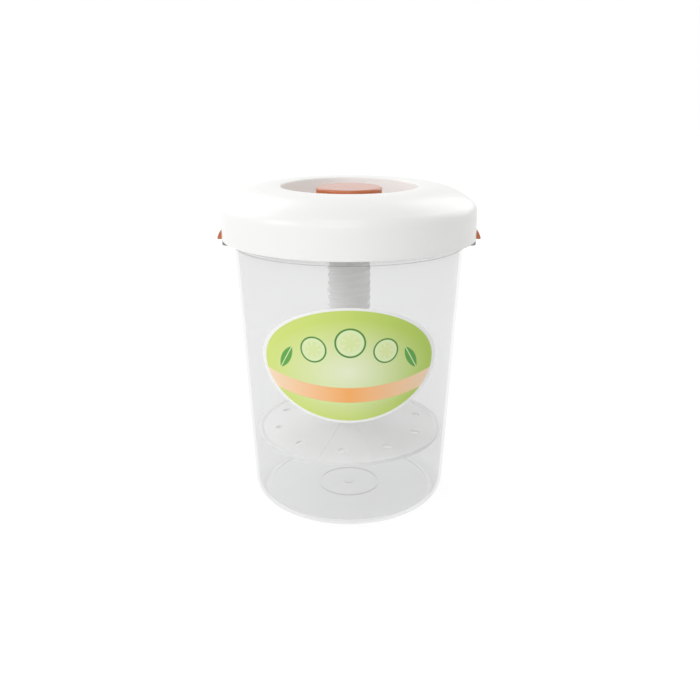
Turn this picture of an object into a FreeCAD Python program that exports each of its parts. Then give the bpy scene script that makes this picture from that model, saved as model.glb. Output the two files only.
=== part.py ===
import FreeCAD, Part
import math
import os
import Sketcher

# Pickle keeper: a clear jar, a domed lid with two side clips, and a screw that lifts a strainer.
# Z is up, the origin is the centre of the face the jar stands on, and the label faces -Y.

doc = FreeCAD.newDocument("pickle_keeper")
sheet = doc.addObject("Spreadsheet::Sheet", "sizes")

DIMENSIONS = {
    # Jar wall and floor
    "jar_wall": 2.5,
    "jar_top_radius": 103.2,
    "jar_taper": 11.3,
    "jar_corner_height": 15.0,
    "jar_inner_corner": 10.5,
    "jar_flare_height": 240.0,
    "jar_floor_lift": 1.6,
    "foot_inset": 9.3,
    "foot_width": 4.6,
    "foot_draft": 0.4,
    "base_ring_radius": 29.2,
    "base_ring_width": 2.0,
    "base_ring_depth": 1.0,
    "gate_radius": 5.0,
    "gate_depth": 0.8,
    # Jar mouth, band, ears and catches
    "neck_step": 3.0,
    "neck_height": 14.9,
    "mouth_edge": 0.8,
    "band_rise": 2.4,
    "band_gap": 4.3,
    "band_height": 2.7,
    "ear_half_width": 13.0,
    "ear_thickness": 4.2,
    "ear_corner": 6.0,
    "catch_sink": 1.0,
    "catch_depth": 5.0,
    "catch_slope_depth": 1.3,
    "catch_drop": 7.3,
    "catch_nose": 2.4,
    "catch_height": 5.9,
    "catch_half_width": 12.0,
    # Label film
    "label_thickness": 0.2,
    "label_half_width": 74.8,
    "label_half_height": 51.5,
    "label_centre_height": 158.0,
    "label_sweep": 124.0,
    "label_gap": 0.02,
    # Lid cover
    "cover_wall": 2.5,
    "skirt_offset": 14.4,
    "skirt_drop": 12.2,
    "skirt_height": 24.7,
    "skirt_draft": 0.4,
    "skirt_edge": 0.8,
    "shoulder_radius": 10.0,
    "dome_rise": 21.4,
    "crown_width": 11.0,
    "crown_drop": 0.6,
    "finger_gap": 31.5,
    "well_lip_radius": 1.6,
    "well_draft": 2.2,
    "well_corner": 4.0,
    "stem_gap": 0.7,
    "ring_gap": 0.9,
    "ring_width": 2.0,
    # Clip windows and hinge brackets in the cover
    "window_side_gap": 0.2,
    "window_margin": 1.3,
    "window_depth": 6.1,
    "bracket_side_gap": 0.4,
    "bracket_thickness": 2.6,
    "bracket_depth": 4.6,
    "bracket_below": 5.3,
    "bracket_above": 7.7,
    # Lid liner and gasket
    "seat_gap": 0.1,
    "liner_plate": 2.5,
    "liner_flange": 2.5,
    "liner_overhang": 1.2,
    "plug_gap": 2.1,
    "plug_wall": 2.4,
    "plug_depth": 6.5,
    "nut_wall": 4.2,
    "nut_depth": 15.0,
    "gasket_fit": 0.1,
    "gasket_inset": 0.4,
    "gasket_lip_width": 1.1,
    "gasket_lip_depth": 4.5,
    # Clips and their pins
    "hinge_inset": 5.0,
    "hinge_lift": 6.4,
    "barrel_radius": 3.3,
    "clip_half_width": 16.4,
    "barrel_side_step": 0.2,
    "clip_inset": 0.8,
    "clip_thickness": 2.5,
    "lip_overhang": 3.8,
    "lip_start_rise": 8.8,
    "lip_tip_rise": 1.2,
    "lip_drop": 0.2,
    "lip_run": 1.0,
    "lip_bulge": 16.0,
    "hook_gap": 0.4,
    "hook_thickness": 3.8,
    "hook_tip_gap": 2.2,
    "hook_root_rise": 3.3,
    "hook_root_run": 3.0,
    "pin_radius": 1.25,
    "pin_recess": 0.2,
    "bore_gap": 0.15,
    # Screw: a hollow rod with a double-start thread
    "thread_lead": 14.0,
    "thread_starts": 2.0,
    "thread_core": 18.3,
    "thread_depth": 1.5,
    "thread_root_width": 4.4,
    "thread_crest_width": 2.4,
    "thread_lift": 3.9,
    "thread_overrun": 3.5,
    "thread_clearance": 0.35,
    "thread_sink": 0.3,
    "nut_thread_margin": 0.55,
    "rod_wall": 2.9,
    "rod_floor": 3.4,
    "rod_end_gap": 0.4,
    "shoulder_gap": 0.3,
    "journal_radius": 12.0,
    "journal_wall": 4.0,
    "journal_web": 2.6,
    "slot_width": 3.3,
    "slot_depth": 9.0,
    "slot_count": 4.0,
    # Knob
    "knob_radius": 29.5,
    "knob_sink": 2.1,
    "knob_height": 22.0,
    "knob_wall": 2.4,
    "knob_edge": 1.6,
    "spigot_gap": 0.2,
    "spigot_wall": 2.4,
    "spigot_length": 31.7,
    "key_side_gap": 0.15,
    "key_end_gap": 1.1,
    "knob_rib_count": 8.0,
    "knob_rib_width": 2.0,
    "knob_rib_depth": 14.3,
    "knob_rib_gap": 0.6,
    "flute_radius": 1.6,
    "flute_depth": 0.7,
    "flute_count": 36.0,
    "flute_stop": 2.4,
    # Strainer and the cap under it
    "strainer_rim_height": 64.1,
    "strainer_gap": 1.0,
    "strainer_skin": 2.3,
    "strainer_edge": 0.6,
    "cone_rise": 10.3,
    "rim_width": 4.4,
    "bead_rise": 1.2,
    "bead_run": 1.0,
    "hub_width": 10.6,
    "hub_rise": 1.4,
    "bore_clearance": 0.3,
    "sleeve_wall": 3.1,
    "sleeve_length": 9.5,
    "drain_count": 10.0,
    "drain_inset": 15.7,
    "drain_radius": 4.0,
    "drain_turn": -95.0,
    "crease_width": 1.2,
    "crease_rise": 0.3,
    "crease_turn": -92.0,
    "crease_half_angle": 17.6,
    "cap_overhang": 1.1,
    "cap_thickness": 2.8,
    "cap_fit": 0.05,
    "cap_end_gap": 0.5,
    # How far a cut runs past the wall, and how far a rib sinks into it
    "cut_margin": 5.0,
    "weld_sink": 0.5,
}

# Places that follow from those sizes
FOLLOWING = {
    "jar_low_radius": "jar_top_radius - jar_taper",
    "jar_corner_radius": "(foot_inset ^ 2 + jar_corner_height ^ 2) / (2 * foot_inset)",
    "foot_outer_radius": "jar_low_radius - foot_inset",
    "foot_inner_radius": "foot_outer_radius - foot_width",
    "neck_radius": "jar_top_radius - neck_step",
    "band_radius": "jar_top_radius + band_rise",
    "band_bottom": "jar_flare_height + band_gap",
    "band_top": "band_bottom + band_height",
    "mouth_height": "band_top + neck_height",
    "ear_bottom": "band_top - ear_thickness",
    "catch_root": "neck_radius - catch_sink",
    "catch_reach": "neck_radius + catch_depth",
    "catch_slope_reach": "neck_radius + catch_slope_depth",
    "catch_bottom": "mouth_height - catch_drop",
    "liner_plate_bottom": "mouth_height + seat_gap",
    "liner_plate_top": "liner_plate_bottom + liner_plate",
    "liner_flange_top": "liner_plate_top + liner_flange",
    "liner_flange_radius": "neck_radius + liner_overhang",
    "plug_outer_radius": "neck_radius - jar_wall - plug_gap",
    "plug_inner_radius": "plug_outer_radius - plug_wall",
    "plug_bottom": "liner_plate_bottom - plug_depth",
    "nut_bottom": "liner_plate_bottom - nut_depth",
    "gasket_inner_radius": "plug_outer_radius + gasket_fit",
    "gasket_outer_radius": "liner_flange_radius - gasket_inset",
    "gasket_lip_radius": "gasket_inner_radius + gasket_lip_width",
    "gasket_lip_bottom": "liner_plate_bottom - gasket_lip_depth",
    "skirt_radius": "neck_radius + skirt_offset",
    "skirt_bottom": "mouth_height - skirt_drop",
    "shoulder_reach": "skirt_radius - skirt_draft",
    "shoulder_start": "skirt_bottom + skirt_height",
    "shoulder_centre": "shoulder_reach - shoulder_radius",
    "well_top_radius": "knob_radius + finger_gap",
    "well_floor_radius": "well_top_radius - well_draft",
    "well_floor_height": "liner_plate_top + cover_wall",
    "lip_turn_radius": "well_top_radius + well_lip_radius",
    "crown_reach": "well_top_radius + crown_width",
    "crown_height": "shoulder_start + dome_rise",
    "crown_turn": "((crown_reach - lip_turn_radius) ^ 2 + crown_drop ^ 2) / (2 * crown_drop)",
    "dome_run": "shoulder_centre - crown_reach",
    "dome_radius": "(dome_run ^ 2 + dome_rise ^ 2 - shoulder_radius ^ 2)"
                   " / (2 * (dome_rise - shoulder_radius))",
    "dome_centre_height": "crown_height - dome_radius",
    "ring_inner_radius": "plug_outer_radius + ring_gap",
    "ring_outer_radius": "ring_inner_radius + ring_width",
    "ring_top": "dome_centre_height + sqrt((dome_radius - cover_wall / 2) ^ 2"
                " - (ring_outer_radius - crown_reach) ^ 2)",
    "hinge_reach": "skirt_radius - hinge_inset",
    "hinge_height": "mouth_height + hinge_lift",
    "barrel_half_length": "clip_half_width - barrel_side_step",
    "window_half_width": "clip_half_width + window_side_gap",
    "window_top": "shoulder_start - window_margin",
    "window_reach": "hinge_reach - window_depth",
    "bracket_inner_face": "window_half_width + bracket_side_gap",
    "bracket_reach": "hinge_reach - bracket_depth",
    "pin_half_length": "bracket_inner_face + bracket_thickness - pin_recess",
    "clip_bore_radius": "pin_radius + bore_gap",
    "clip_outer": "skirt_radius - clip_inset",
    "clip_inner": "clip_outer - clip_thickness",
    "lip_reach": "skirt_radius + lip_overhang",
    "lip_start": "skirt_bottom + lip_start_rise",
    "lip_tip_height": "skirt_bottom + lip_tip_rise",
    "lip_bottom": "skirt_bottom - lip_drop",
    "clip_sweep": "2 * asin(clip_half_width / lip_reach) / 1 deg",
    "hook_top": "catch_bottom - hook_gap",
    "hook_bottom": "hook_top - hook_thickness",
    "hook_tip": "neck_radius + hook_tip_gap",
    "hook_root_height": "hook_top + hook_root_rise",
    "strainer_radius": "jar_low_radius - jar_wall - strainer_gap",
    "rim_inner_radius": "strainer_radius - rim_width",
    "bead_height": "strainer_rim_height + bead_rise",
    "hub_height": "strainer_rim_height + cone_rise",
    "strainer_top": "hub_height + hub_rise",
    "strainer_bore": "journal_radius + bore_clearance",
    "sleeve_radius": "strainer_bore + sleeve_wall",
    "sleeve_bottom": "strainer_top - sleeve_length",
    "hub_radius": "sleeve_radius + hub_width",
    "drain_ring_radius": "rim_inner_radius - drain_inset",
    "rod_shoulder": "strainer_top + shoulder_gap",
    "rod_floor_top": "rod_shoulder + rod_floor",
    "rod_bore": "thread_core - rod_wall",
    "journal_bottom": "sleeve_bottom - shoulder_gap",
    "journal_hole": "journal_radius - journal_wall",
    "journal_hole_top": "rod_shoulder - journal_web",
    "thread_pitch": "thread_lead / thread_starts",
    "thread_crest": "thread_core + thread_depth",
    "thread_bottom": "rod_shoulder + thread_lift",
    "thread_length": "liner_plate_top + thread_overrun - thread_bottom",
    "stem_hole_radius": "thread_crest + stem_gap",
    "nut_bore": "thread_crest + thread_clearance",
    "nut_outer_radius": "thread_crest + nut_wall",
    "nut_half_root": "(thread_pitch - thread_crest_width) / 2 - thread_clearance",
    "nut_half_crest": "(thread_pitch - thread_root_width) / 2 - thread_clearance",
    "nut_pitches": "floor((nut_bottom + nut_half_root + nut_thread_margin - thread_bottom)"
                   " / thread_pitch + 0.5) + 0.5",
    "nut_thread_start": "thread_bottom + thread_pitch * nut_pitches",
    "nut_thread_length": "liner_plate_top - nut_thread_margin - nut_half_root - nut_thread_start",
    "knob_top": "crown_height - knob_sink",
    "knob_ceiling": "knob_top - knob_wall",
    "knob_bottom": "knob_top - knob_height",
    "rod_top": "knob_ceiling - rod_end_gap",
    "spigot_outer": "rod_bore - spigot_gap",
    "spigot_inner": "spigot_outer - spigot_wall",
    "spigot_bottom": "knob_top - spigot_length",
    "key_bottom": "rod_top - slot_depth + key_end_gap",
    "knob_rib_bottom": "knob_ceiling - knob_rib_depth",
    "knob_rib_inner": "thread_crest + knob_rib_gap",
    "cap_radius": "sleeve_radius + cap_overhang",
    "cap_bottom": "journal_bottom - cap_thickness",
    "cap_spigot": "journal_hole - cap_fit",
    "cap_spigot_top": "journal_hole_top - cap_end_gap",
}


class Size:
    """A number in the sheet, or a sum of such numbers, with the expression that gives it."""

    def __init__(self, value, text):
        self.value = value
        self.text = text

    def combine(self, other, sign, value):
        text = other.text if isinstance(other, Size) else repr(float(other))
        return Size(value, f"({self.text} {sign} {text})")

    def __add__(self, other):
        return self.combine(other, "+", self.value + number(other))

    def __sub__(self, other):
        return self.combine(other, "-", self.value - number(other))

    def __mul__(self, other):
        return self.combine(other, "*", self.value * number(other))

    def __truediv__(self, other):
        return self.combine(other, "/", self.value / number(other))

    def __neg__(self):
        return self * -1.0


def number(size):
    return size.value if isinstance(size, Size) else float(size)


def cosine(angle):
    return Size(math.cos(math.radians(angle.value)), f"cos({angle.text})")


def sine(angle):
    return Size(math.sin(math.radians(angle.value)), f"sin({angle.text})")


class Sizes:
    """Reads each alias of the sheet as a Size."""

    def __getattr__(self, alias):
        return Size(float(sheet.get(alias)), f"sizes.{alias}")


def fill_sheet():
    contents = {alias: str(value) for alias, value in DIMENSIONS.items()}
    contents.update((alias, f"={formula}") for alias, formula in FOLLOWING.items())
    for row, (alias, content) in enumerate(contents.items(), start=1):
        sheet.set(f"A{row}", alias)
        sheet.set(f"B{row}", content)
        sheet.setAlias(f"B{row}", alias)


fill_sheet()
doc.recompute()
S = Sizes()
NOTHING = Size(0.0, "0")
ORIGIN = -1


def new_body(name):
    body = doc.addObject("PartDesign::Body", name)
    body.Label = name
    body.Placement = FreeCAD.Placement()
    return body


def new_sketch(body, plane, name, lift=None):
    sketch = body.newObject("Sketcher::SketchObject", name)
    for feature in body.Origin.OriginFeatures:
        if feature.Role == plane:
            sketch.AttachmentSupport = [(feature, "")]
    sketch.MapMode = "FlatFace"
    if lift is not None:
        sketch.AttachmentOffset.Base.z = lift.value
        sketch.setExpression(".AttachmentOffset.Base.z", lift.text)
    return sketch


def bind(sketch, kind, *where, size):
    index = sketch.addConstraint(Sketcher.Constraint(kind, *where, size.value))
    sketch.setExpression(f"Constraints[{index}]", size.text)


def pin_point(sketch, edge, end, point):
    """Ties one end of a sketch edge to a place, measured from the sketch's origin."""
    for kind, size in (("DistanceX", point[0]), ("DistanceY", point[1])):
        bind(sketch, kind, ORIGIN, 1, edge, end, size=size)


def arc_through(start, end, radius):
    """The arc of at most half a turn from start to end; a positive radius turns left."""
    chord = end - start
    half = chord.Length / 2
    side = FreeCAD.Vector(-chord.y, chord.x, 0).normalize()
    turn = math.copysign(1.0, radius)
    rise = math.sqrt(max(radius * radius - half * half, 0.0))
    centre = (start + end) / 2 + side * rise * turn
    middle = centre + ((start + end) / 2 - centre).normalize() * abs(radius)
    return Part.Arc(start, middle, end)


def outline(sketch, steps):
    """Draws a closed outline. A step is (x, y), or (x, y, r) where an arc of radius r leads to it."""
    points = [FreeCAD.Vector(step[0].value, step[1].value, 0) for step in steps]
    for index, step in enumerate(steps):
        start, end = points[index - 1], points[index]
        if len(step) == 2:
            edge = sketch.addGeometry(Part.LineSegment(start, end), False)
            pin_point(sketch, edge, 2, step)
            continue
        bend = step[2]
        edge = sketch.addGeometry(arc_through(start, end, bend.value), False)
        first, last = (1, 2) if bend.value > 0 else (2, 1)
        pin_point(sketch, edge, last, step)
        pin_point(sketch, edge, first, steps[index - 1])
        bind(sketch, "Radius", edge, size=bend if bend.value > 0 else -bend)
    doc.recompute()


def circle(sketch, x, y, radius):
    edge = sketch.addGeometry(Part.Circle(FreeCAD.Vector(x.value, y.value, 0),
                                          FreeCAD.Vector(0, 0, 1), radius.value), False)
    pin_point(sketch, edge, 3, (x, y))
    bind(sketch, "Radius", edge, size=radius)


def box_outline(left, right, low, high):
    return [(left, low), (right, low), (right, high), (left, high)]


def revolve(body, sketch, name, sweep=None, kind="Revolution"):
    feature = body.newObject(f"PartDesign::{kind}", name)
    feature.Profile = sketch
    feature.ReferenceAxis = (sketch, ["V_Axis"])
    feature.Angle = 360.0
    if sweep is not None:
        feature.Midplane = True
        feature.setExpression("Angle", sweep.text)
    doc.recompute()
    return feature


def pad(body, sketch, name, length, both_ways=False, reverse=False, kind="Pad"):
    feature = body.newObject(f"PartDesign::{kind}", name)
    feature.Profile = sketch
    feature.setExpression("Length", length.text)
    feature.Midplane = both_ways
    feature.Reversed = reverse
    doc.recompute()
    return feature


def pocket(body, sketch, name, length, both_ways=False, reverse=False):
    """Cuts a pocket and stops if it removed nothing."""
    before = body.Shape.Volume
    feature = pad(body, sketch, name, length, both_ways, reverse, "Pocket")
    if not body.Shape.Volume < before - 1e-3:
        raise RuntimeError(f"{body.Label}: {name} cut nothing")
    return feature


def polar(body, features, name, count):
    pattern = body.newObject("PartDesign::PolarPattern", name)
    pattern.Originals = features
    for feature in body.Origin.OriginFeatures:
        if feature.Role == "Z_Axis":
            pattern.Axis = (feature, [""])
    pattern.Angle = 360.0
    pattern.setExpression("Occurrences", count.text)
    body.Tip = pattern
    doc.recompute()
    return pattern


def edges_where(body, test):
    names = []
    for index, edge in enumerate(body.Shape.Edges, start=1):
        if test(edge):
            names.append(f"Edge{index}")
    return names


def fillet(body, base, names, radius, name):
    feature = body.newObject("PartDesign::Fillet", name)
    feature.Base = (base, names)
    feature.setExpression("Radius", radius.text)
    doc.recompute()
    return feature


def upright_edges_at(body, reach, half_width):
    """The vertical edges that stand at x = +-reach and y = +-half_width."""

    def test(edge):
        middle = edge.BoundBox.Center
        upright = edge.BoundBox.ZLength > 1.0 and edge.BoundBox.XLength + edge.BoundBox.YLength < 1e-3
        return upright and abs(abs(middle.x) - reach) < 0.01 and abs(abs(middle.y) - half_width) < 0.01

    return edges_where(body, test)


def build_jar():
    body = new_body("jar")
    wall = S.jar_wall
    floor_top = S.jar_floor_lift + wall
    inner_low = S.jar_low_radius - wall
    ring_low = S.jar_floor_lift - S.base_ring_depth
    ring_inner = S.base_ring_radius - S.base_ring_width / 2
    ring_outer = S.base_ring_radius + S.base_ring_width / 2
    sketch = new_sketch(body, "XZ_Plane", "jar_profile")
    outline(sketch, [
        (NOTHING, S.jar_floor_lift - S.gate_depth),
        (S.gate_radius, S.jar_floor_lift - S.gate_depth),
        (S.gate_radius, S.jar_floor_lift),
        (ring_inner, S.jar_floor_lift),
        (ring_inner, ring_low),
        (ring_outer, ring_low),
        (ring_outer, S.jar_floor_lift),
        (S.foot_inner_radius, S.jar_floor_lift),
        (S.foot_inner_radius + S.foot_draft, NOTHING),
        (S.foot_outer_radius, NOTHING),
        (S.jar_low_radius, S.jar_corner_height, S.jar_corner_radius),
        (S.jar_top_radius, S.jar_flare_height),
        (S.jar_top_radius, S.band_bottom),
        (S.band_radius, S.band_bottom),
        (S.band_radius, S.band_top),
        (S.neck_radius, S.band_top),
        (S.neck_radius, S.mouth_height - S.mouth_edge),
        (S.neck_radius - S.mouth_edge, S.mouth_height, S.mouth_edge),
        (S.neck_radius - wall + S.mouth_edge, S.mouth_height),
        (S.neck_radius - wall, S.mouth_height - S.mouth_edge, S.mouth_edge),
        (S.neck_radius - wall, S.band_bottom),
        (S.jar_top_radius - wall, S.jar_flare_height),
        (inner_low, floor_top + S.jar_inner_corner),
        (inner_low - S.jar_inner_corner, floor_top, -S.jar_inner_corner),
        (NOTHING, floor_top),
    ])
    revolve(body, sketch, "jar_wall_and_floor")
    for side, name in ((1.0, "right"), (-1.0, "left")):
        ear = new_sketch(body, "XY_Plane", f"ear_outline_{name}", S.ear_bottom)
        outline(ear, box_outline(S.catch_root * side, S.skirt_radius * side,
                                 -S.ear_half_width, S.ear_half_width))
        pad(body, ear, f"ear_{name}", S.ear_thickness)
        catch = new_sketch(body, "XZ_Plane", f"catch_outline_{name}")
        outline(catch, [
            (S.catch_root * side, S.catch_bottom),
            (S.catch_reach * side, S.catch_bottom),
            (S.catch_reach * side, S.catch_bottom + S.catch_nose),
            (S.catch_slope_reach * side, S.catch_bottom + S.catch_height),
            (S.catch_root * side, S.catch_bottom + S.catch_height),
        ])
        last = pad(body, catch, f"catch_{name}", S.catch_half_width * 2.0, both_ways=True)
    corners = upright_edges_at(body, S.skirt_radius.value, S.ear_half_width.value)
    fillet(body, last, corners, S.ear_corner, "ear_corners")
    return body


def build_label():
    """A film that wraps the front of the tapered wall, cut to an oval."""
    body = new_body("jar_label")
    slope = (S.jar_top_radius - S.jar_low_radius) / (S.jar_flare_height - S.jar_corner_height)
    low = S.label_centre_height - S.label_half_height - S.cut_margin
    high = S.label_centre_height + S.label_half_height + S.cut_margin
    low_reach = S.jar_low_radius + slope * (low - S.jar_corner_height) + S.label_gap
    high_reach = S.jar_low_radius + slope * (high - S.jar_corner_height) + S.label_gap
    film = new_sketch(body, "YZ_Plane", "film_section")
    outline(film, [
        (-low_reach, low),
        (-high_reach, high),
        (-(high_reach + S.label_thickness), high),
        (-(low_reach + S.label_thickness), low),
    ])
    revolve(body, film, "film", S.label_sweep)
    cutter = new_sketch(body, "XZ_Plane", "oval_window")
    outline(cutter, box_outline(-S.skirt_radius, S.skirt_radius,
                                low - S.cut_margin, high + S.cut_margin))
    oval = cutter.addGeometry(Part.Ellipse(FreeCAD.Vector(0, S.label_centre_height.value, 0),
                                           S.label_half_width.value, S.label_half_height.value), False)
    cutter.exposeInternalGeometry(oval)
    pin_point(cutter, oval, 3, (NOTHING, S.label_centre_height))
    cutter.addConstraint(Sketcher.Constraint("Horizontal", oval + 1))
    bind(cutter, "Distance", oval + 1, size=S.label_half_width * 2.0)
    bind(cutter, "Distance", oval + 2, size=S.label_half_height * 2.0)
    doc.recompute()
    pocket(body, cutter, "oval", S.skirt_radius * 2.0, both_ways=True)
    return body


def shell_point(offset):
    """Where the shoulder arc meets the dome arc, on the skin that lies offset inside the cover."""
    share = (S.shoulder_radius - offset) / (S.dome_radius - S.shoulder_radius)
    return (S.shoulder_centre + S.dome_run * share,
            S.shoulder_start + (S.shoulder_start - S.dome_centre_height) * share)


def build_cover():
    """The domed skin: skirt, shoulder, dome, finger well and the ring that stands on the liner."""
    body = new_body("lid_cover")
    wall = S.cover_wall
    edge = S.skirt_edge
    floor = S.well_floor_height
    under_floor = floor - wall
    lip_top = S.crown_height - S.crown_drop
    corner_reach = S.well_floor_radius - S.well_corner
    sketch = new_sketch(body, "XZ_Plane", "cover_profile")
    outline(sketch, [
        (S.skirt_radius, S.skirt_bottom + edge, edge),
        (S.shoulder_reach, S.shoulder_start),
        (*shell_point(NOTHING), S.shoulder_radius),
        (S.crown_reach, S.crown_height, S.dome_radius),
        (S.lip_turn_radius, lip_top, S.crown_turn),
        (S.well_top_radius, lip_top - S.well_lip_radius, S.well_lip_radius),
        (S.well_floor_radius, floor + S.well_corner),
        (corner_reach, floor, -S.well_corner),
        (S.stem_hole_radius, floor),
        (S.stem_hole_radius, under_floor),
        (corner_reach + wall, under_floor),
        (S.well_floor_radius + wall, under_floor + S.well_corner, S.well_corner),
        (S.well_top_radius + wall, lip_top - wall),
        (S.crown_reach, S.crown_height - wall),
        (*shell_point(wall), -(S.dome_radius - wall)),
        (S.shoulder_reach - wall, S.shoulder_start, -(S.shoulder_radius - wall)),
        (S.skirt_radius - wall, S.skirt_bottom),
        (S.skirt_radius - edge, S.skirt_bottom),
    ])
    revolve(body, sketch, "cover_skin")
    ring = new_sketch(body, "XZ_Plane", "standing_ring_section")
    outline(ring, box_outline(S.ring_inner_radius, S.ring_outer_radius, S.liner_flange_top, S.ring_top))
    revolve(body, ring, "standing_ring")
    for side, name in ((1.0, "right"), (-1.0, "left")):
        window = new_sketch(body, "YZ_Plane", f"window_outline_{name}", S.window_reach * side)
        outline(window, box_outline(-S.window_half_width, S.window_half_width,
                                    S.skirt_bottom - S.cut_margin, S.window_top))
        depth = S.skirt_radius - S.window_reach + S.cut_margin
        pocket(body, window, f"window_{name}", depth, reverse=side > 0)
    for side, name in ((1.0, "right"), (-1.0, "left")):
        for end, place in ((1.0, "back"), (-1.0, "front")):
            bracket = new_sketch(body, "XZ_Plane", f"bracket_outline_{name}_{place}",
                                 -(S.bracket_inner_face * end) - S.bracket_thickness * max(end, 0.0))
            reach = S.shoulder_reach - wall + S.weld_sink
            outline(bracket, box_outline(S.bracket_reach * side, reach * side,
                                         S.hinge_height - S.bracket_below,
                                         S.hinge_height + S.bracket_above))
            pad(body, bracket, f"bracket_{name}_{place}", S.bracket_thickness)
        hole = new_sketch(body, "XZ_Plane", f"pin_seat_{name}")
        circle(hole, S.hinge_reach * side, S.hinge_height, S.pin_radius)
        pocket(body, hole, f"pin_hole_{name}", S.pin_half_length * 2.0, both_ways=True)
    return body


def build_liner():
    """The plate under the cover: threaded sleeve, plug ring inside the mouth, flange on the gasket."""
    body = new_body("lid_liner")
    sketch = new_sketch(body, "XZ_Plane", "liner_profile")
    outline(sketch, [
        (S.nut_bore, S.nut_bottom),
        (S.nut_outer_radius, S.nut_bottom),
        (S.nut_outer_radius, S.liner_plate_bottom),
        (S.plug_inner_radius, S.liner_plate_bottom),
        (S.plug_inner_radius, S.plug_bottom),
        (S.plug_outer_radius, S.plug_bottom),
        (S.plug_outer_radius, S.liner_plate_top),
        (S.liner_flange_radius, S.liner_plate_top),
        (S.liner_flange_radius, S.liner_flange_top),
        (S.plug_inner_radius, S.liner_flange_top),
        (S.plug_inner_radius - S.cover_wall, S.liner_plate_top),
        (S.nut_bore, S.liner_plate_top),
    ])
    revolve(body, sketch, "liner_plate")
    slant = (S.nut_half_root - S.nut_half_crest) / S.thread_depth
    root_half = S.nut_half_root + slant * S.thread_sink
    root = S.nut_bore + S.thread_sink
    crest = S.thread_core + S.thread_clearance
    start = S.nut_thread_start
    thread(body, "nut_thread", [
        (root, start - root_half),
        (root, start + root_half),
        (crest, start + S.nut_half_crest),
        (crest, start - S.nut_half_crest),
    ], S.nut_thread_length)
    return body


def thread(body, name, section, length):
    """A ridge of the shared right-hand helix, repeated for each start."""
    sketch = new_sketch(body, "XZ_Plane", f"{name}_section")
    outline(sketch, section)
    ridge = body.newObject("PartDesign::AdditiveHelix", name)
    ridge.Profile = sketch
    ridge.ReferenceAxis = (sketch, ["V_Axis"])
    ridge.Mode = "pitch-height-angle"
    ridge.setExpression("Pitch", S.thread_lead.text)
    ridge.setExpression("Height", length.text)
    ridge.Angle = 0.0
    ridge.LeftHanded = False
    ridge.Reversed = False
    doc.recompute()
    polar(body, [ridge], f"{name}_starts", S.thread_starts)


def build_gasket():
    body = new_body("lid_gasket")
    sketch = new_sketch(body, "XZ_Plane", "gasket_section")
    outline(sketch, [
        (S.gasket_inner_radius, S.gasket_lip_bottom),
        (S.gasket_lip_radius, S.gasket_lip_bottom),
        (S.gasket_lip_radius, S.liner_plate_bottom),
        (S.gasket_outer_radius, S.liner_plate_bottom),
        (S.gasket_outer_radius, S.liner_plate_top),
        (S.gasket_inner_radius, S.liner_plate_top),
    ])
    revolve(body, sketch, "gasket_ring")
    return body


def build_clip(name, side):
    """A side clip: finger lip outside, hook under the jar's catch, barrel on the hinge pin."""
    body = new_body(name)
    bulge = S.lip_bulge * side
    sketch = new_sketch(body, "XZ_Plane", "clip_section")
    outline(sketch, [
        (S.clip_inner * side, S.hinge_height),
        (S.clip_inner * side, S.hook_root_height),
        ((S.clip_inner - S.hook_root_run) * side, S.hook_top),
        (S.hook_tip * side, S.hook_top),
        (S.hook_tip * side, S.hook_bottom),
        (S.clip_inner * side, S.hook_bottom),
        ((S.clip_inner + S.lip_run) * side, S.lip_bottom),
        (S.lip_reach * side, S.lip_bottom),
        (S.lip_reach * side, S.lip_tip_height),
        (S.clip_outer * side, S.lip_start, bulge),
        (S.clip_outer * side, S.hinge_height),
    ])
    revolve(body, sketch, "clip_plate", S.clip_sweep)
    barrel = new_sketch(body, "XZ_Plane", "barrel_section")
    circle(barrel, S.hinge_reach * side, S.hinge_height, S.barrel_radius)
    pad(body, barrel, "barrel", S.barrel_half_length * 2.0, both_ways=True)
    bore = new_sketch(body, "XZ_Plane", "bore_section")
    circle(bore, S.hinge_reach * side, S.hinge_height, S.clip_bore_radius)
    pocket(body, bore, "barrel_bore", (S.barrel_half_length + S.cut_margin) * 2.0, both_ways=True)
    return body


def build_pin(name, side):
    body = new_body(name)
    sketch = new_sketch(body, "XZ_Plane", "pin_section")
    circle(sketch, S.hinge_reach * side, S.hinge_height, S.pin_radius)
    pad(body, sketch, "pin", S.pin_half_length * 2.0, both_ways=True)
    return body


def build_rod():
    """The hollow screw, with a journal below its shoulder that turns in the strainer's sleeve."""
    body = new_body("screw_rod")
    sketch = new_sketch(body, "XZ_Plane", "rod_profile")
    outline(sketch, [
        (S.journal_hole, S.journal_bottom),
        (S.journal_radius, S.journal_bottom),
        (S.journal_radius, S.rod_shoulder),
        (S.thread_core, S.rod_shoulder),
        (S.thread_core, S.rod_top),
        (S.rod_bore, S.rod_top),
        (S.rod_bore, S.rod_floor_top),
        (NOTHING, S.rod_floor_top),
        (NOTHING, S.journal_hole_top),
        (S.journal_hole, S.journal_hole_top),
    ])
    revolve(body, sketch, "rod_tube")
    slots = new_sketch(body, "XY_Plane", "slot_outline", S.rod_top)
    outline(slots, box_outline(S.spigot_outer, S.knob_radius, -S.slot_width / 2, S.slot_width / 2))
    slot = pocket(body, slots, "drive_slot", S.slot_depth)
    polar(body, [slot], "drive_slots", S.slot_count)
    root = S.thread_core - S.thread_sink
    slant = (S.thread_root_width - S.thread_crest_width) / S.thread_depth / 2
    half_root = S.thread_root_width / 2 + slant * S.thread_sink
    half_crest = S.thread_crest_width / 2
    thread(body, "rod_thread", [
        (root, S.thread_bottom - half_root),
        (S.thread_crest, S.thread_bottom - half_crest),
        (S.thread_crest, S.thread_bottom + half_crest),
        (root, S.thread_bottom + half_root),
    ], S.thread_length)
    return body


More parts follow.
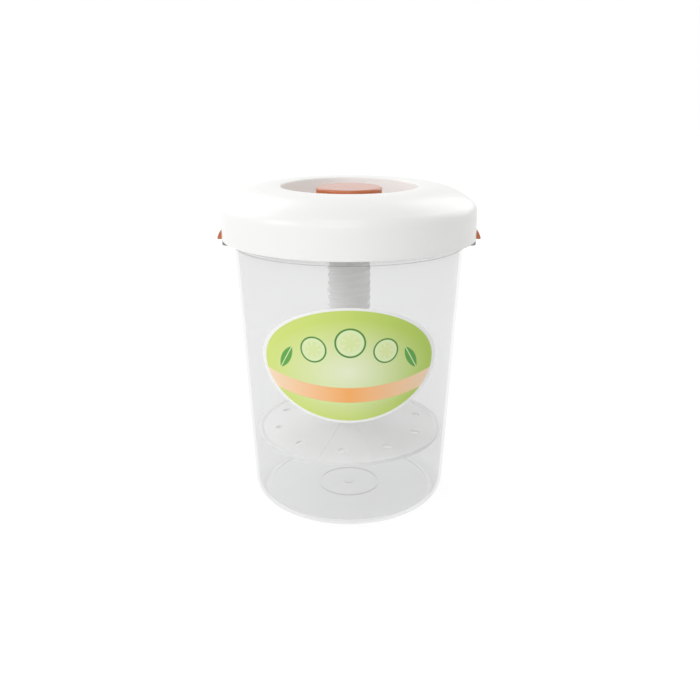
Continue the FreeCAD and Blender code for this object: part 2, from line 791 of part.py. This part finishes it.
def build_knob():
    """The knob: a hollow cap with a spigot in the rod, keys in its slots and stiffening ribs."""
    body = new_body("knob")
    ceiling = S.knob_ceiling
    key_half_width = S.slot_width / 2 - S.key_side_gap
    sketch = new_sketch(body, "XZ_Plane", "knob_profile")
    outline(sketch, [
        (S.spigot_inner, S.spigot_bottom),
        (S.spigot_outer, S.spigot_bottom),
        (S.spigot_outer, ceiling),
        (S.knob_radius - S.knob_wall, ceiling),
        (S.knob_radius - S.knob_wall, S.knob_bottom),
        (S.knob_radius, S.knob_bottom),
        (S.knob_radius, S.knob_top - S.knob_edge),
        (S.knob_radius - S.knob_edge, S.knob_top, S.knob_edge),
        (NOTHING, S.knob_top),
        (NOTHING, ceiling),
        (S.spigot_inner, ceiling),
    ])
    revolve(body, sketch, "knob_cap")
    keys = new_sketch(body, "XY_Plane", "key_outline", S.key_bottom)
    outline(keys, box_outline(S.spigot_outer - S.weld_sink, S.thread_core - S.weld_sink,
                              -key_half_width, key_half_width))
    key = pad(body, keys, "key", ceiling - S.key_bottom)
    polar(body, [key], "keys", S.slot_count)
    ribs = new_sketch(body, "XY_Plane", "rib_outline", S.knob_rib_bottom)
    outline(ribs, box_outline(S.knob_rib_inner, S.knob_radius - S.knob_wall + S.weld_sink,
                              -S.knob_rib_width / 2, S.knob_rib_width / 2))
    rib = pad(body, ribs, "rib", ceiling - S.knob_rib_bottom)
    polar(body, [rib], "ribs", S.knob_rib_count)
    flutes = new_sketch(body, "XY_Plane", "flute_outline", S.knob_bottom - S.cut_margin)
    circle(flutes, S.knob_radius + S.flute_radius - S.flute_depth, NOTHING, S.flute_radius)
    flute_length = S.knob_height + S.cut_margin - S.flute_stop
    flute = pocket(body, flutes, "flute", flute_length, reverse=True)
    polar(body, [flute], "flutes", S.flute_count)
    return body


def build_strainer():
    """A shallow cone with a raised rim, drain holes, two creases and a sleeve for the journal."""
    body = new_body("strainer")
    skin = S.strainer_skin
    sketch = new_sketch(body, "XZ_Plane", "strainer_profile")
    outline(sketch, [
        (S.strainer_bore, S.sleeve_bottom),
        (S.sleeve_radius, S.sleeve_bottom),
        (S.sleeve_radius, S.strainer_top - skin),
        (S.hub_radius, S.hub_height - skin),
        (S.rim_inner_radius, S.strainer_rim_height - skin),
        (S.strainer_radius, S.strainer_rim_height - skin),
        (S.strainer_radius, S.bead_height - S.strainer_edge),
        (S.strainer_radius - S.strainer_edge, S.bead_height, S.strainer_edge),
        (S.rim_inner_radius + S.bead_run, S.bead_height),
        (S.rim_inner_radius, S.strainer_rim_height),
        (S.hub_radius, S.hub_height),
        (S.sleeve_radius, S.strainer_top),
        (S.strainer_bore, S.strainer_top),
    ])
    revolve(body, sketch, "strainer_cone")
    add_creases(body)
    drains = new_sketch(body, "XY_Plane", "drain_outline", S.strainer_top + S.cut_margin)
    circle(drains, S.drain_ring_radius * cosine(S.drain_turn), S.drain_ring_radius * sine(S.drain_turn),
           S.drain_radius)
    drain = pocket(body, drains, "drain", S.sleeve_length + S.cone_rise + S.cut_margin * 2.0)
    polar(body, [drain], "drains", S.drain_count)
    return body


def add_creases(body):
    """Two low ribs that run down the cone from the hub to the rim, either side of the front drain."""
    sink = S.strainer_skin / 2
    for name, side in (("left", -1.0), ("right", 1.0)):
        turn = S.crease_turn + S.crease_half_angle * side
        rib = new_sketch(body, "XZ_Plane", f"crease_section_{name}")
        outline(rib, [
            (S.hub_radius, S.hub_height - sink),
            (S.rim_inner_radius, S.strainer_rim_height - sink),
            (S.rim_inner_radius, S.strainer_rim_height + S.crease_rise),
            (S.hub_radius, S.hub_height + S.crease_rise),
        ])
        rib.AttachmentOffset.Rotation = FreeCAD.Rotation(FreeCAD.Vector(0, 1, 0), turn.value)
        rib.setExpression(".AttachmentOffset.Rotation.Angle", turn.text)
        pad(body, rib, f"crease_{name}", S.crease_width, both_ways=True)


def build_cap():
    """The cap that holds the strainer on the journal."""
    body = new_body("rod_end_cap")
    sketch = new_sketch(body, "XZ_Plane", "cap_profile")
    outline(sketch, [
        (NOTHING, S.cap_bottom),
        (S.cap_radius, S.cap_bottom),
        (S.cap_radius, S.journal_bottom),
        (S.cap_spigot, S.journal_bottom),
        (S.cap_spigot, S.cap_spigot_top),
        (NOTHING, S.cap_spigot_top),
    ])
    revolve(body, sketch, "cap")
    return body


build_jar()
build_label()
build_cover()
build_liner()
build_gasket()
for side, name in ((1.0, "right"), (-1.0, "left")):
    build_clip(f"clip_{name}", side)
    build_pin(f"clip_pin_{name}", side)
build_rod()
build_knob()
build_strainer()
build_cap()

doc.recompute()
os.makedirs("parts", exist_ok=True)
for item in doc.Objects:
    if "Invalid" in item.State or "Error" in item.State:
        raise RuntimeError(f"{item.Label} failed: {item.State}")
for item in doc.Objects:
    if item.TypeId == "PartDesign::Body":
        shape = item.Shape
        if shape.isNull() or not shape.isValid():
            raise RuntimeError(f"{item.Label} has no valid shape")
        print(item.Label, "solids", len(shape.Solids), "volume cm3", round(shape.Volume / 1000, 2),
              shape.optimalBoundingBox(False))
        shape.exportStep(f"parts/{item.Label}.step")
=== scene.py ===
import math
import bpy
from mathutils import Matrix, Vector


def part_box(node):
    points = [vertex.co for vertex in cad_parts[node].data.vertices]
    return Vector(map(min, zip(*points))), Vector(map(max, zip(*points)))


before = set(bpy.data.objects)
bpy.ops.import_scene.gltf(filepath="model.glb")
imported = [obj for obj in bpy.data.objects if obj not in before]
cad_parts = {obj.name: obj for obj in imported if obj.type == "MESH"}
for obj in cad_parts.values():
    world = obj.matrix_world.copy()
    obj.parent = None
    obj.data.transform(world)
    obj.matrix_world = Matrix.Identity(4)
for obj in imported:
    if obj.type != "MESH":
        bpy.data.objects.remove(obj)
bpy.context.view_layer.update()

scene = bpy.context.scene


# Jar
# One clear plastic moulding, with a foot ring under it, and a flange and two ears near its mouth.
# Its grey is painted reflection and shade: a light grey haze over the walls, darker where it is seen edge
# on and in the ears, and painted dark lines at the flange, near the mouth and on the foot. It lets nearly
# all lamp light through.
class Value:
    """A node's output that takes part in Python sums."""

    def __init__(self, finish, socket):
        self.finish = finish
        self.socket = socket

    def output(self, name):
        """Another output of the same node."""
        return Value(self.finish, self.socket.node.outputs[name])

    def math(self, operation, *operands, clamp=False):
        sockets = dict(enumerate(operands))
        return self.finish.node("ShaderNodeMath", {"operation": operation, "use_clamp": clamp}, sockets)

    def __add__(self, other):
        return self.math("ADD", self, other)

    def __sub__(self, other):
        return self.math("SUBTRACT", self, other)

    def __mul__(self, other):
        return self.math("MULTIPLY", self, other)

    def __truediv__(self, other):
        return self.math("DIVIDE", self, other)

    def __radd__(self, other):
        return self.math("ADD", other, self)

    def __rsub__(self, other):
        return self.math("SUBTRACT", other, self)

    def __rmul__(self, other):
        return self.math("MULTIPLY", other, self)

    def __pow__(self, power):
        return self.math("POWER", self, power)

    def clamped(self):
        return self.math("ADD", self, 0.0, clamp=True)

    def most(self, other):
        return self.math("MAXIMUM", self, other)

    def size(self):
        return self.math("ABSOLUTE", self)

    def angle_over(self, other):
        return self.math("ARCTAN2", self, other)

    def below(self, edge, soft=1e-4):
        """1 where the value is under the edge, 0 above it, with a short ramp between."""
        return ((edge - self) / soft + 0.5).clamped()


class Finish:
    """The nodes of one material, or of the world, with the one way they are made."""

    def __init__(self, owner):
        self.owner = owner
        owner.use_nodes = True
        self.tree = owner.node_tree
        self.tree.nodes.clear()

    def node(self, kind, settings=None, sockets=None, output=0):
        made = self.tree.nodes.new(kind)
        for name, setting in (settings or {}).items():
            setattr(made, name, setting)
        for key, value in (sockets or {}).items():
            if isinstance(value, Value):
                self.tree.links.new(value.socket, made.inputs[key])
            else:
                made.inputs[key].default_value = value
        return Value(self, made.outputs[output]) if made.outputs else None

    def split(self, vector):
        """The X, Y and Z of a vector, as three values."""
        parts = self.node("ShaderNodeSeparateXYZ", {}, {0: vector})
        return [parts.output(axis) for axis in "XYZ"]

    def place(self):
        """The X, Y and Z of the point in metres, as three values."""
        return self.split(self.node("ShaderNodeTexCoord", output="Object"))

    def grain(self, scale):
        here = self.node("ShaderNodeTexCoord", output="Object")
        return self.node("ShaderNodeTexNoise", {}, {"Vector": here, "Scale": scale, "Detail": 3.0})

    def roughness(self, lowest, spread, scale):
        """A roughness that varies a little over the surface."""
        return lowest + self.grain(scale) * spread

    def blend(self, factor, first, second):
        """Mixes two colours; factor 1 gives the second."""
        sockets = {"Factor": factor, 6: first, 7: second}
        return self.node("ShaderNodeMix", {"data_type": "RGBA"}, sockets, output=2)

    def bump(self, scale, depth):
        sockets = {"Height": self.grain(scale), "Distance": depth, "Strength": 1.0}
        return self.node("ShaderNodeBump", {}, sockets)

    def surface(self, **sockets):
        named = {name.replace("_", " "): value for name, value in sockets.items()}
        shader = self.node("ShaderNodeBsdfPrincipled", {}, named)
        self.node("ShaderNodeOutputMaterial", {}, {"Surface": shader})
        return self.owner


def coat_with(material, *names):
    for name in names:
        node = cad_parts[name]
        node.data.materials.clear()
        node.data.materials.append(material)


# The wall grey is painted reflection: a haze that stands in for the dim surroundings that clear walls
# reflect.
WALL_REFLECTION_GREY = (0.64, 0.645, 0.65, 1.0)
# The edge grey is painted shade: darker grey where the clear plastic is seen edge on, in the ears and
# along the dark lines, where refraction would darken it.
EDGE_SHADE_GREY = (0.1, 0.1, 0.105, 1.0)
EDGE_SHADE_POWER = 5.0
THIN_ALPHA = 0.152
# The floor plate is greyer, partly for its thicker plastic and partly as painted shade for the jar's
# shadow on the floor beneath.
FLOOR_THICK_SHADE_ALPHA = 0.19
FLOOR_HIGH = 0.006
FLOOR_SOFT = 0.004
EDGE_ON_SHADE_ALPHA = 0.4
EDGE_ON_SHADE_POWER = 7.0
# The ears are painted greyer and more opaque, darkest at their outlines, as painted shade.
EAR_SHADE_ALPHA = 0.4
EAR_OUTLINE_SHADE_ALPHA = 0.5
EAR_OUTLINE_SHADE_POWER = 2.0
EAR_REACH = 0.1062
EAR_SOFT = 0.0006
# The lines are painted: a painted shadow along the gap under the lid's skirt, and painted shade lines at
# the flange's lower edge, near the mouth and on the foot where the jar stands.
SHADE_LINE_ALPHA = 0.17
SHADE_LINE_HEIGHTS = (0.2443, 0.247, 0.2615, 0.0006)
SHADE_LINE_HALF = 0.0006
FOOT_SHADE_LINE_SHARE = 0.35
LIGHT_THROUGH = 0.95

clear = Finish(bpy.data.materials.new("clear_plastic"))
x, y, z = clear.place()
facing_away = clear.node("ShaderNodeLayerWeight", {}, {"Blend": 0.5}, output="Facing")
shadow_ray = clear.node("ShaderNodeLightPath", output="Is Shadow Ray")
reach = (x ** 2.0 + y ** 2.0) ** 0.5
ear = 1.0 - reach.below(EAR_REACH, EAR_SOFT)
# Painted dark lines: painted shade on the foot and at the listed heights.
shade_lines = z.below(0.0) * FOOT_SHADE_LINE_SHARE
for height in SHADE_LINE_HEIGHTS:
    shade_lines = shade_lines.most((z - height).size().below(SHADE_LINE_HALF, SHADE_LINE_HALF))
thin_alpha = THIN_ALPHA + z.below(FLOOR_HIGH, FLOOR_SOFT) * (FLOOR_THICK_SHADE_ALPHA - THIN_ALPHA)
ear_shade_alpha = ear * (EAR_SHADE_ALPHA + facing_away ** EAR_OUTLINE_SHADE_POWER * EAR_OUTLINE_SHADE_ALPHA)
wall_alpha = thin_alpha.most(facing_away ** EDGE_ON_SHADE_POWER * EDGE_ON_SHADE_ALPHA).most(shade_lines * SHADE_LINE_ALPHA)
painted_shade_share = ear.most(shade_lines).most(facing_away ** EDGE_SHADE_POWER)
clear_plastic = clear.surface(
    Base_Color=clear.blend(painted_shade_share, WALL_REFLECTION_GREY, EDGE_SHADE_GREY),
    Roughness=clear.roughness(0.04, 0.02, scale=40.0),
    IOR=1.49,
    Alpha=wall_alpha.most(ear_shade_alpha) * (1.0 - shadow_ray * LIGHT_THROUGH),
)
coat_with(clear_plastic, "jar")


# Label
# An oval printed film stuck on the front of the jar, with a white border round the print and a bare back.
# The print is lime green with a pale glow, three cucumber slices, two leaves and an orange band.
label_low, label_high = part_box("jar_label")
label_centre = (Vector(label_low) + Vector(label_high)) / 2
LABEL_HALF_WIDTH = (label_high[0] - label_low[0]) / 2
LABEL_HALF_HEIGHT = (label_high[2] - label_low[2]) / 2
WALL_RADIUS = 0.0993
PRINT_SOFT = 0.0004
BORDER = 0.0022
BORDER_SOFT = 0.01
PAPER_WHITE = (0.93, 0.93, 0.92, 1.0)
FILM_BACK = (0.8, 0.83, 0.74, 1.0)

film = Finish(bpy.data.materials.new("label_film"))
x, y, z = film.place()
round_wall = x.angle_over(-1.0 * y) * WALL_RADIUS
rise = z - label_centre.z
across = x / LABEL_HALF_WIDTH
up = rise / LABEL_HALF_HEIGHT

RIND = (0.06, 0.26, 0.03, 1.0)
FLESH = (0.76, 0.88, 0.5, 1.0)
SEED = (0.9, 0.92, 0.72, 1.0)
RIND_INSIDE = 0.88
CORE_REACH = 0.62
CORE_SOFT = 0.0016
CORE_TINT = 0.35
SEED_COUNT = 7.0
SEED_GAP = 0.35
SEED_EDGE = 3.0
SEED_RING = (0.32, 0.58)
SLICES = ((-0.03, 0.014, 0.0115), (0.001, 0.021, 0.013), (0.031, 0.013, 0.011))


def printed_slice(under, centre_across, centre_up, radius):
    """A round slice with a dark rind, pale flesh and a ring of seeds."""
    side = round_wall - centre_across
    height = rise - centre_up
    reach = (side ** 2.0 + height ** 2.0) ** 0.5
    turn = height.angle_over(side) * SEED_COUNT
    seeds = turn.math("COSINE", turn) - SEED_GAP
    ring_inside, ring_outside = [reach.below(radius * share, PRINT_SOFT) for share in SEED_RING]
    inside = film.blend((seeds * SEED_EDGE).clamped() * (ring_outside - ring_inside), FLESH, SEED)
    core = film.blend(reach.below(radius * CORE_REACH, CORE_SOFT) * CORE_TINT, inside, YELLOW_LIME)
    whole = film.blend(reach.below(radius * RIND_INSIDE, PRINT_SOFT), RIND, core)
    return film.blend(reach.below(radius, PRINT_SOFT), under, whole)


LEAF = (0.1, 0.38, 0.05, 1.0)
LEAF_CURVE = 0.019
LEAF_OFFSET = 0.0145
RIB_HALF = 0.0004
LEAVES = ((-0.056, 0.004, 0.55), (0.055, 0.004, -0.55))


def printed_leaf(under, centre_across, centre_up, lean):
    """A pointed leaf, where two circles overlap, with a pale rib down its middle."""
    side = round_wall - centre_across
    height = rise - centre_up
    along = side * math.sin(lean) + height * math.cos(lean)
    aside = side * math.cos(lean) - height * math.sin(lean)
    first = (along ** 2.0 + (aside - LEAF_OFFSET) ** 2.0) ** 0.5
    second = (along ** 2.0 + (aside + LEAF_OFFSET) ** 2.0) ** 0.5
    blade = first.most(second).below(LEAF_CURVE, PRINT_SOFT)
    rib = aside.size().below(RIB_HALF, PRINT_SOFT)
    return film.blend(blade, under, film.blend(rib, LEAF, FLESH))


DARK_LIME = (0.44, 0.63, 0.08, 1.0)
YELLOW_LIME = (0.66, 0.78, 0.19, 1.0)
LIME_POWER = 1.6
PALE_GLOW = (0.84, 0.9, 0.64, 1.0)
GLOW_LOW = 0.1
GLOW_FALL = 1.1
BAND_ORANGE = (0.98, 0.44, 0.12, 1.0)
BAND_PEACH = (0.95, 0.76, 0.55, 1.0)
BAND_LOW = 0.5
BAND_CURVE = 0.2
BAND_HALF = 0.13
BAND_SOFT = 0.012

glow = (1.0 - (across ** 2.0 + (up + GLOW_LOW) ** 2.0) ** 0.5 * GLOW_FALL).clamped()
green = film.blend((across * 0.5 + 0.5).clamped() ** LIME_POWER, YELLOW_LIME, DARK_LIME)
print_color = film.blend(glow, green, PALE_GLOW)
off_band = up - (across ** 2.0 * BAND_CURVE - BAND_LOW)
band_color = film.blend(across.size().clamped(), BAND_ORANGE, BAND_PEACH)
print_color = film.blend(off_band.size().below(BAND_HALF, BAND_SOFT), print_color, band_color)
for leaf in LEAVES:
    print_color = printed_leaf(print_color, *leaf)
for cut in SLICES:
    print_color = printed_slice(print_color, *cut)

reach = (across ** 2.0 + up ** 2.0) ** 0.5
inside_border = reach.below(1.0 - BORDER / LABEL_HALF_HEIGHT, BORDER_SOFT)
front_color = film.blend(inside_border, PAPER_WHITE, print_color)
outward_x, outward_y, outward_z = film.split(film.node("ShaderNodeTexCoord", output="Normal"))
back = (x * outward_x + y * outward_y).below(0.0)
label_film = film.surface(
    Base_Color=film.blend(back, front_color, FILM_BACK),
    Roughness=film.roughness(0.3, 0.05, scale=120.0),
)
coat_with(label_film, "jar_label")


# Lid cover and liner
# White semi-gloss mouldings: the domed cover with its finger well, and the liner under it.
# The surface has a faint moulded waviness that softens the reflections.
LID_WHITE = (0.93, 0.93, 0.915, 1.0)

white = Finish(bpy.data.materials.new("white_gloss"))
white_gloss = white.surface(
    Base_Color=LID_WHITE,
    Roughness=white.roughness(0.27, 0.06, scale=60.0),
    IOR=1.5,
    Normal=white.bump(scale=14.0, depth=0.0002),
)
coat_with(white_gloss, "lid_cover", "lid_liner")


# Lid gasket
# A pale silicone ring between the liner's flange and the mouth of the jar.
# It is matt and a little yellower than the lid.
SILICONE_PALE = (0.8, 0.79, 0.74, 1.0)

silicone = Finish(bpy.data.materials.new("gasket_rubber"))
gasket_rubber = silicone.surface(
    Base_Color=SILICONE_PALE,
    Roughness=silicone.roughness(0.55, 0.1, scale=300.0),
)
coat_with(gasket_rubber, "lid_gasket")


# Side clips and knob
# Orange-brown plastic, moulded with a bright polish.
# Its colour clouds a little between a lighter and a deeper amber.
AMBER = (0.6, 0.175, 0.055, 1.0)
AMBER_DEEP = (0.4, 0.1, 0.035, 1.0)
CLOUD_SCALE = 90.0
CLOUD_SHARE = 0.6

amber = Finish(bpy.data.materials.new("amber_brown"))
amber_brown = amber.surface(
    Base_Color=amber.blend(amber.grain(CLOUD_SCALE) * CLOUD_SHARE, AMBER, AMBER_DEEP),
    Roughness=amber.roughness(0.12, 0.05, scale=200.0),
    IOR=1.5,
)
coat_with(amber_brown, "knob", "clip_left", "clip_right")


# Clip pins
# Stainless wire, cut to length, on which the clips swing.
# The wire is bright, with a fine uneven polish.
STAINLESS = (0.62, 0.62, 0.61, 1.0)

steel = Finish(bpy.data.materials.new("pin_steel"))
pin_steel = steel.surface(
    Base_Color=STAINLESS,
    Metallic=1.0,
    Roughness=steel.roughness(0.25, 0.15, scale=900.0),
)
coat_with(pin_steel, "clip_pin_left", "clip_pin_right")


# Screw rod, its end cap and the strainer
# White plastic with a satin surface, plainer than the lid.
# The strainer is a shallow cone with drain holes; the rod is hollow with a coarse thread.
SATIN_WHITE = (0.96, 0.96, 0.955, 1.0)

satin = Finish(bpy.data.materials.new("white_matte"))
white_matte = satin.surface(
    Base_Color=SATIN_WHITE,
    Roughness=satin.roughness(0.3, 0.06, scale=80.0),
    Normal=satin.bump(scale=500.0, depth=0.00003),
)
coat_with(white_matte, "screw_rod", "rod_end_cap", "strainer")


# Floor and backdrop
# A plain white floor and sky, seen white by the camera and in reflections.
# The floor keeps a faint shadow close round the keeper.
WHITE = (1.0, 1.0, 1.0, 1.0)
PAPER = (0.9, 0.9, 0.9, 1.0)
FLOOR_WIDTH = 12.0
PAPER_SHARE = 0.8
PAPER_GLOW = 1.08
SHADOW_REACH = 0.2
SHADOW_FADE = 0.35
SKY_LIGHT = 0.45
SKY_SEEN = 1.0

bpy.ops.mesh.primitive_plane_add(size=FLOOR_WIDTH, location=(0, 0, 0))
floor = bpy.context.object
floor.name = "floor"
paper = Finish(bpy.data.materials.new("floor_white"))
x, y, z = paper.place()
far = (((x ** 2.0 + y ** 2.0) ** 0.5 - SHADOW_REACH) / SHADOW_FADE).clamped()
ray = paper.node("ShaderNodeLightPath", output="Is Camera Ray")
seen = ray.most(ray.output("Is Transmission Ray")).most(ray.output("Is Glossy Ray"))
share = seen * (PAPER_SHARE + far * (1.0 - PAPER_SHARE))
matt = paper.node("ShaderNodeBsdfDiffuse", {}, {"Color": PAPER})
glow = paper.node("ShaderNodeEmission", {}, {"Color": WHITE, "Strength": PAPER_GLOW})
mixed = paper.node("ShaderNodeMixShader", {}, {0: share, 1: matt, 2: glow})
paper.node("ShaderNodeOutputMaterial", {}, {"Surface": mixed})
floor.data.materials.append(paper.owner)

sky = Finish(bpy.data.worlds.new("studio"))
ray = sky.node("ShaderNodeLightPath", output="Is Camera Ray")
seen = ray.most(ray.output("Is Glossy Ray"))
light = sky.node("ShaderNodeBackground", {}, {"Color": WHITE, "Strength": SKY_LIGHT})
backdrop = sky.node("ShaderNodeBackground", {}, {"Color": WHITE, "Strength": SKY_SEEN})
mixed = sky.node("ShaderNodeMixShader", {}, {0: seen, 1: light, 2: backdrop})
sky.node("ShaderNodeOutputWorld", {}, {"Surface": mixed})
scene.world = sky.owner


# Lamps
# The key lamp stands at the left, the fill lamp in front and the top lamp high above the camera.
# Two wide lamps behind the keeper light the space inside the jar and the edges of the lid.
LAMP_AIM = Vector((0, 0, 0.15))
LAMPS = (
    ("key_lamp", (-1.73, -0.92, 1.15), 1.0, 9.7),
    ("top_lamp", (-0.2, -0.9, 2.1), 1.0, 5.8),
    ("fill_lamp", (-0.29, -2.0, 1.15), 1.2, 7.9),
    ("back_left_lamp", (-1.3, 1.3, 1.35), 1.6, 13.0),
    ("back_right_lamp", (1.3, 1.3, 1.35), 1.6, 13.0),
)

for name, spot, width, watts in LAMPS:
    lamp = bpy.data.lights.new(name, "AREA")
    lamp.shape = "RECTANGLE"
    lamp.size = width
    lamp.size_y = width
    lamp.energy = watts
    holder = bpy.data.objects.new(name, lamp)
    holder.location = spot
    holder.rotation_euler = (LAMP_AIM - Vector(spot)).to_track_quat("-Z", "Y").to_euler()
    scene.collection.objects.link(holder)


# Camera
# It stands in front and above, where the photograph was taken from.
CAMERA_DISTANCE = 0.724
CAMERA_HEIGHT = 0.382
CAMERA_TILT = math.radians(18.5)
CAMERA_LENS = 41.14
SENSOR_WIDTH = 36.0
SHIFT_TO_AXIS = 0.0014

camera = bpy.data.cameras.new("camera")
camera.sensor_width = SENSOR_WIDTH
camera.lens = CAMERA_LENS
camera.shift_x = SHIFT_TO_AXIS
viewer = bpy.data.objects.new("camera", camera)
viewer.location = (0, -CAMERA_DISTANCE, CAMERA_HEIGHT)
viewer.rotation_euler = (math.pi / 2 - CAMERA_TILT, 0, 0)
scene.collection.objects.link(viewer)
scene.camera = viewer
scene.view_settings.view_transform = "Standard"
